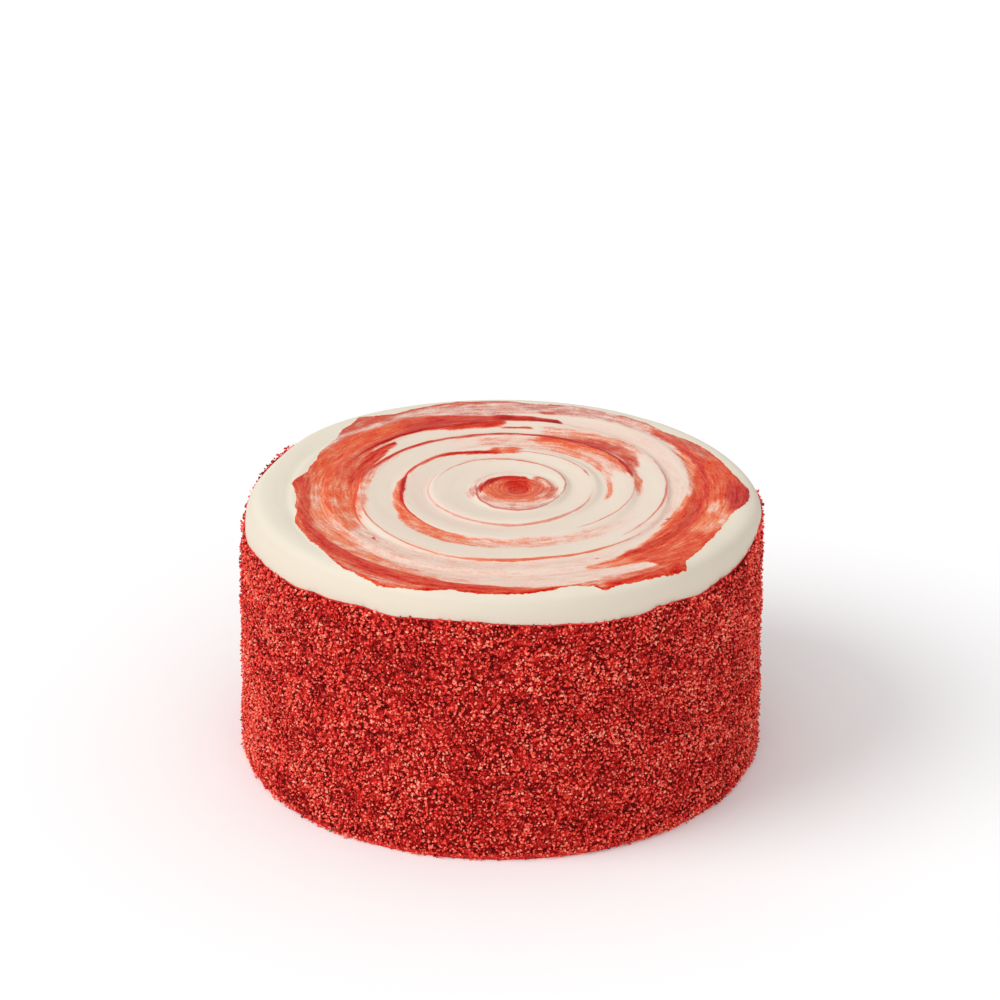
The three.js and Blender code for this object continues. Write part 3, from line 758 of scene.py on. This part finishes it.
def random_turns(rng, count):
    """Rotation matrices, evenly spread."""
    q = rng.normal(size=(count, 4))
    w, x, y, z = (q / np.linalg.norm(q, axis=1, keepdims=True)).T
    rows = [
        [1 - 2 * (y * y + z * z), 2 * (x * y - z * w), 2 * (x * z + y * w)],
        [2 * (x * y + z * w), 1 - 2 * (x * x + z * z), 2 * (y * z - x * w)],
        [2 * (x * z - y * w), 2 * (y * z + x * w), 1 - 2 * (x * x + y * y)],
    ]
    return np.array(rows).transpose(2, 0, 1)


def add_crumbs(name, count, radii, reach, material, rng):
    """One piece of so many loose crumbs pressed into the coat, each a lump of its own shape."""
    ball, faces = crumb_blank()
    # Spread over the wall on a jittered grid, so that no place is bare and no crumbs pile up.
    rows = round(math.sqrt(count * (COAT_HEIGHT + 1) / (FULL_TURN * CAKE_RADIUS)))
    columns = math.ceil(count / rows)
    place = np.arange(count)
    row = place // columns
    step = place % columns + 0.5 * (row % 2) + rng.uniform(-CRUMB_STRAY, CRUMB_STRAY, count)
    angle = step / columns * FULL_TURN
    share = np.clip((row + 0.5 + rng.uniform(-CRUMB_STRAY, CRUMB_STRAY, count)) / rows, 0, 1)
    size = rng.uniform(*radii, count)
    top = crumb_line(angle)
    height = np.clip(share * (top + 0.5), size * 0.9, None)
    swell = clusters(angle, height)
    set_in = smooth(height, top - 1.2, top + 0.3) * rng.uniform(0.0, 0.5, count)
    set_in = set_in + (1 - smooth(height, 0, 2.0)) * 0.4
    # Where the cream is drawn in, some of the topmost crumbs lie on the ledge beside it.
    drawn_in = np.maximum(-cream_shift(angle), 0)
    on_ledge = (height > top - LEDGE_DEPTH) & (rng.random(count) < LEDGE_SHARE * np.minimum(drawn_in, 1))
    height = np.where(on_ledge, top + rng.uniform(-0.2, 0.3, count), height)
    set_in = set_in + on_ledge * (drawn_in + 1) * rng.random(count)
    out = wall_radius(height) + wall_lump(angle, height) + CRUMB_SWELL * swell
    out = np.minimum(out + rng.uniform(*reach, count) - set_in, wall_radius(height) + CRUMB_REACH - size)
    centre = polar(out, angle, height)
    shape = ball[None] * (1 + rng.uniform(-CRUMB_UNEVEN, CRUMB_UNEVEN, (count, len(ball), 1)))
    shape = shape * rng.uniform(*CRUMB_STRETCH, (count, 1, 3)) * size[:, None, None]
    points = centre[:, None] + np.einsum("nij,nkj->nki", random_turns(rng, count), shape)
    points[..., 2] = np.maximum(points[..., 2], 0)
    triangles = faces[None] + np.arange(count)[:, None, None] * len(ball)
    tone_and_painted_light = TONE_MEAN + TONE_SPREAD * rng.normal(size=count) + TONE_SWELL * swell
    # Painted glints: a few crumbs are made much paler, as if smeared with cream, where crumbs would catch the
    # light.
    tone_and_painted_light = tone_and_painted_light + GLINT_PALER * (rng.random(count) < GLINT_SHARE)

    # Each crumb has a cell of the uv map, and is spread over it as seen from outside.
    outward = polar(1.0, angle, 0.0)
    side = polar(1.0, angle + math.pi / 2, 0.0)
    direction = points - centre[:, None]
    direction = direction / np.linalg.norm(direction, axis=2, keepdims=True)
    away = np.arccos(np.clip((direction * outward[:, None]).sum(2), -1, 1)) / math.pi
    # Painted shade and light: each point of a crumb is darker the more it faces in towards the wall, and paler
    # where it faces out.
    tone_and_painted_light = tone_and_painted_light[:, None] + FACING_SHADE * (0.5 - 2 * away).clip(-1, 0.5)
    x, y = (direction * side[:, None]).sum(2), direction[..., 2]
    flat = np.hypot(x, y) + 1e-9
    cells = math.ceil(math.sqrt(count))
    cell = np.stack([place % cells, place // cells], -1)[:, None] + 0.5
    uv = (cell + CELL_FILL * away[..., None] * np.stack([x / flat, y / flat], -1)) / cells
    uv = uv.reshape(-1, 2)[triangles.reshape(-1)]
    points, triangles = points.reshape(-1, 3), triangles.reshape(-1, 3)
    add_piece(name, points, triangles, material, uv, {"tone_and_painted_light": tone_and_painted_light.ravel()}, rounded=False)


# Materials.


def linear(hexa):
    """A colour written as it looks on screen, for a socket."""
    value = [int(hexa[i : i + 2], 16) / 255 for i in (0, 2, 4)]
    return [c / 12.92 if c <= 0.04045 else ((c + 0.055) / 1.055) ** 2.4 for c in value] + [1.0]


class Nodes:
    """Short names for the nodes of one material."""

    def __init__(self, name):
        self.material = bpy.data.materials.new(name)
        self.material.use_nodes = True
        self.tree = self.material.node_tree
        self.shader = self.tree.nodes["Principled BSDF"]

    def put(self, socket, value):
        if isinstance(value, bpy.types.NodeSocket):
            self.tree.links.new(value, socket)
        else:
            socket.default_value = value

    def node(self, kind, inputs, **settings):
        node = self.tree.nodes.new("ShaderNode" + kind)
        for key, value in settings.items():
            setattr(node, key, value)
        for key, value in inputs.items():
            self.put(node.inputs[key], value)
        return node

    def attribute(self, name, output="Fac"):
        return self.node("Attribute", {}, attribute_name=name).outputs[output]

    def math(self, operation, a, b=0.0, clamp=False):
        return self.node("Math", {0: a, 1: b}, operation=operation, use_clamp=clamp).outputs[0]

    def plus(self, a, b):
        return self.math("ADD", a, b)

    def times(self, a, b):
        return self.math("MULTIPLY", a, b)

    def centred(self, value):
        """Noise from 0 to 1 made to run from -0.5 to 0.5."""
        return self.math("SUBTRACT", value, 0.5)

    def span(self, value, low, high, to_low=0.0, to_high=1.0):
        """Goes smoothly from one number to another where the value goes from low to high."""
        inputs = dict(enumerate((value, low, high, to_low, to_high)))
        return self.node("MapRange", inputs, interpolation_type="SMOOTHSTEP").outputs[0]

    def scaled(self, vector, scale):
        return self.node("VectorMath", {0: vector, 1: scale}, operation="MULTIPLY").outputs[0]

    def along(self, vector, direction):
        return self.node("VectorMath", {0: vector, 1: direction}, operation="DOT_PRODUCT").outputs["Value"]

    def noise(self, vector, scale, detail=2.0, rough=0.5):
        inputs = {"Vector": vector, "Scale": scale, "Detail": detail, "Roughness": rough}
        return self.node("TexNoise", inputs).outputs["Fac"]

    def cells(self, vector, scale):
        return self.node("TexVoronoi", {"Vector": vector, "Scale": scale}).outputs["Distance"]

    def place(self):
        return self.node("TexCoord", {}).outputs["Object"]

    def ramp(self, value, stops):
        node = self.node("ValToRGB", {0: value})
        elements = node.color_ramp.elements
        while len(elements) < len(stops):
            elements.new(1.0)
        for element, (at, colour) in zip(elements, stops):
            element.position, element.color = at, linear(colour)
        return node.outputs["Color"]

    def mix(self, share, a, b):
        return self.node("Mix", {0: share, 6: a, 7: b}, data_type="RGBA").outputs[2]

    def bump(self, height, strength, distance, before=None):
        inputs = {"Height": height, "Strength": strength, "Distance": distance}
        if before is not None:
            inputs["Normal"] = before
        return self.node("Bump", inputs).outputs["Normal"]

    def set(self, **values):
        for key, value in values.items():
            self.put(self.shader.inputs[key.replace("_", " ")], value)


# The colours of bare cream and of more and more glaze, orange or crimson, and how much the last stands for.
RAMP_REACH = 1.25
WARM = [
    (0, "dfd6c5"), (0.1, "e6cbbb"), (0.16, "e8bfac"), (0.24, "e5a48e"), (0.34, "e68a68"), (0.42, "e27850"),
    (0.51, "db603e"), (0.6, "d94b2d"), (0.69, "ce3314"), (0.76, "c21404"), (0.86, "a40200"), (1, "660000"),
]  # fmt: skip
COOL = [
    (0, "dfd6c6"), (0.1, "e2c9bd"), (0.16, "dcb6aa"), (0.24, "d09e93"), (0.34, "c68276"), (0.42, "c06b60"),
    (0.51, "be584d"), (0.6, "be463d"), (0.69, "bc3833"), (0.76, "b3221b"), (0.86, "980402"), (1, "580000"),
]  # fmt: skip
BLOTCH = "d8c8b0"
# Painted shade: the cream's shoulder and side are coloured darker all the way round.
SHADED_SIDE = "d6cbba"
SHADED_SIDE_HEIGHTS = (0.0905, 0.0933)  # in metres, where the cream's colour changes to that of its side
CRUMB_TONES = [(0, "4c0606"), (0.25, "c21c1a"), (0.5, "ff4a42"), (0.75, "ff654f"), (1.0, "ffb498")]


def cream_material():
    n = Nodes("glazed_cream")
    place, swirl = n.place(), n.attribute("swirl", "Vector")
    amount, cool, wet, rim, ink = (n.attribute(key) for key in ("glaze", "cool", "wet", "rim", "ink"))
    fine = n.noise(n.scaled(swirl, (1.4, 1.0, 1.0)), 1.0, detail=3.0, rough=0.6)
    broad = n.noise(n.scaled(swirl, (0.45, 0.5, 0.5)), 1.0)
    grain = n.noise(place, 1100.0, rough=0.7)

    # Streaks and speckles, most of them where the glaze is neither thin nor thick.
    streaks = n.plus(n.times(n.centred(fine), 1.15), n.times(n.centred(broad), 0.5))
    varied = n.plus(streaks, n.times(n.centred(grain), 0.7))
    some = n.times(n.span(amount, 0.0, 0.3), n.span(amount, 0.7, 1.3, 1.0, 0.35))
    painted = n.plus(amount, n.times(varied, n.times(some, 0.75)))

    # The thin lines, and then the ragged edge, where all glaze ends.
    wavy = n.plus(n.attribute("line"), n.times(n.centred(fine), 2.4))
    drawn = n.times(n.span(n.math("ABSOLUTE", wavy), 0.6, 1.5, 1.0, 0.0), n.span(ink, 0.02, 0.12))
    inked = n.plus(ink, n.times(varied, 0.3))
    painted = n.plus(painted, n.times(n.math("SUBTRACT", inked, painted), drawn))
    ragged = n.plus(rim, n.times(n.centred(n.noise(place, 700.0, detail=1.0)), 0.9))
    painted = n.times(painted, n.span(ragged, -0.05, 0.2))

    at = n.math("DIVIDE", painted, RAMP_REACH, clamp=True)
    colour = n.mix(cool, n.ramp(at, WARM), n.ramp(at, COOL))
    bare = n.span(painted, 0.0, 0.25, 1.0, 0.0)
    blotch = n.span(n.noise(place, 60.0), 0.35, 0.7, 0.0, 0.12)
    colour = n.mix(n.times(blotch, bare), colour, linear(BLOTCH))
    # Painted shade: bare cream below the top is mixed towards the darker colour of the side.
    side = n.span(n.along(place, (TOP_FALL, 0.0, 1.0)), *SHADED_SIDE_HEIGHTS, 1.0, 0.0)
    colour = n.mix(n.times(side, bare), colour, linear(SHADED_SIDE))

    gloss = n.times(n.span(painted, 0.35, 0.9), n.plus(0.4, n.times(wet, 0.6)))
    roughness = n.span(gloss, 0.0, 1.0, 0.58, 0.3)
    skin = n.bump(grain, strength=0.35, distance=0.00012)
    skin = n.bump(fine, strength=0.3, distance=0.00025, before=skin)
    n.set(Base_Color=colour, Roughness=roughness, Normal=skin, Specular_IOR_Level=0.05)
    return n.material


def crumb_material():
    n = Nodes("sponge_crumb")
    place, tone_and_painted_light = n.place(), n.attribute("tone_and_painted_light")
    patch = n.centred(n.noise(n.scaled(place, (1, 1, 1.6)), 55.0, detail=3.0, rough=0.6))
    grain = n.centred(n.noise(place, 2400.0, rough=0.7))
    level = n.plus(tone_and_painted_light, n.plus(patch, n.times(grain, 2.0)))
    skin = n.bump(grain, strength=0.6, distance=0.0003)
    n.set(Base_Color=n.ramp(level, CRUMB_TONES), Roughness=0.75, Normal=skin, Specular_IOR_Level=0.12)
    return n.material


def coat_material():
    n = Nodes("sponge_coat")
    place, tone_and_painted_light = n.place(), n.attribute("tone_and_painted_light")
    grain = n.centred(n.noise(place, 2000.0, detail=3.0, rough=0.7))
    # Painted shade from the wall's hollows, with the sponge's own fine grain of colour on top.
    level = n.plus(n.span(tone_and_painted_light, -0.3, 0.5, 0.0, 0.4), n.times(grain, 1.2))
    skin = n.bump(grain, strength=0.7, distance=0.0005)
    skin = n.bump(n.cells(place, 700.0), strength=0.5, distance=0.0006, before=skin)
    n.set(Base_Color=n.ramp(level, CRUMB_TONES), Roughness=0.85, Normal=skin, Specular_IOR_Level=0.1)
    return n.material


# The stage, in metres and degrees. A light has a name, where it comes from, its strength and its spread.
FLOOR_HALF = 9.0
PAPER = (0.95, 0.95, 0.95, 1)
WORLD_STRENGTH = 0.72
LIGHTS = [("key", (-1.6, -0.5, 1.4), 1.55, 40), ("fill", (0.1, -1.6, 0.45), 0.7, 70)]
SENSOR_WIDTH, LENS = 36.0, 109.9
CAMERA_AT = (0.0002, -0.956, 0.5055)
CAMERA_DOWN = 23.53


def add_floor():
    mesh = bpy.data.meshes.new("floor")
    size = FLOOR_HALF
    corners = [(-size, -size, 0), (size, -size, 0), (size, size, 0), (-size, size, 0)]
    mesh.from_pydata(corners, [], [(0, 1, 2, 3)])
    n = Nodes("floor_paper")
    n.set(Base_Color=PAPER, Roughness=0.9, Specular_IOR_Level=0.1)
    mesh.materials.append(n.material)
    floor = add_object("floor", mesh)


def add_light(name, at, strength, spread):
    """A soft light that falls evenly over the whole floor."""
    light = bpy.data.lights.new(name, "SUN")
    light.energy, light.angle = strength, math.radians(spread)
    lamp = add_object(name, light)
    lamp.location = at
    flat = math.hypot(at[0], at[1])
    lamp.rotation_euler = (math.atan2(flat, at[2]), 0, math.atan2(-at[1], -at[0]) - math.pi / 2)


def add_world():
    world = bpy.data.worlds.new("soft_studio")
    bpy.context.scene.world = world
    world.use_nodes = True
    background = world.node_tree.nodes["Background"]
    background.inputs["Color"].default_value = (1, 1, 1, 1)
    background.inputs["Strength"].default_value = WORLD_STRENGTH


def add_camera():
    camera = bpy.data.cameras.new("camera")
    camera.sensor_width, camera.lens = SENSOR_WIDTH, LENS
    camera.clip_start, camera.clip_end = 0.05, 50.0
    view = add_object("camera", camera)
    view.location = CAMERA_AT
    view.rotation_euler = (math.radians(90 - CAMERA_DOWN), 0, 0)
    bpy.context.scene.camera = view


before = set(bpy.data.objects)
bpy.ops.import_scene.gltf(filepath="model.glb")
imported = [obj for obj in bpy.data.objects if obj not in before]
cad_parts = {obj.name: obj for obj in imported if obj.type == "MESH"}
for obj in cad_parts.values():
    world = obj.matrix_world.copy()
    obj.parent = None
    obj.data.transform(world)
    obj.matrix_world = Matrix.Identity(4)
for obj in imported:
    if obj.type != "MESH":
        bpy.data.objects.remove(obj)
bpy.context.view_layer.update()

add_camera()
crumb = crumb_material()
add_cream(cream_material())
add_coat(coat_material())
rng = np.random.default_rng(5)
for name, count, radii, reach in CRUMBS:
    add_crumbs(name, count, radii, reach, crumb, rng)
add_floor()
add_world()
for light in LIGHTS:
    add_light(*light)
bpy.context.scene.view_settings.view_transform = "Standard"
